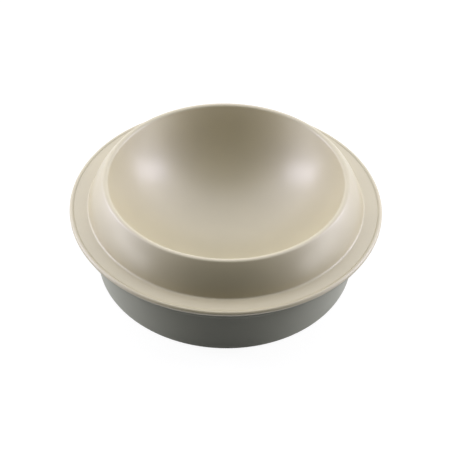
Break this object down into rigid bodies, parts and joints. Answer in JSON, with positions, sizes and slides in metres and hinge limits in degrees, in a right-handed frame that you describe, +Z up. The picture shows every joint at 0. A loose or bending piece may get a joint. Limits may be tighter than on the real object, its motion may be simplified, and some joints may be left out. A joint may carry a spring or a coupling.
{
  "type": "cake mould",
  "caption": "Round sheet-steel ring-cake mould: a flared pan with a rolled rim, and a lift-out bowl insert whose sloping skirt and rolled flange seat on the pan's rim.",
  "frame": {"origin": "middle of the pan's underside, on the surface that the mould stands on", "axes": "+Z up along the axis of the pan and the insert; X and Y lie level, and all directions round the axis are alike"},
  "size_m": [0.2384, 0.2384, 0.0828],
  "materials": {
    "champagne_coat": "satin champagne non-stick coat on steel sheet, slightly metallic",
    "grey_coat": "satin warm-grey non-stick coat on steel sheet",
    "wire_steel": "bare drawn wire"
  },
  "bodies": {
    "pan": {"cake_pan": "grey_coat", "pan_rim_wire": "wire_steel"},
    "insert": {"bowl_insert": "champagne_coat", "insert_rim_wire": "wire_steel"}
  },
  "joints": [
    {"name": "insert_lift", "type": "slide", "parent": "pan", "child": "insert", "axis": [0, 0, 1], "range_m": [0, 0.06]}
  ]
}
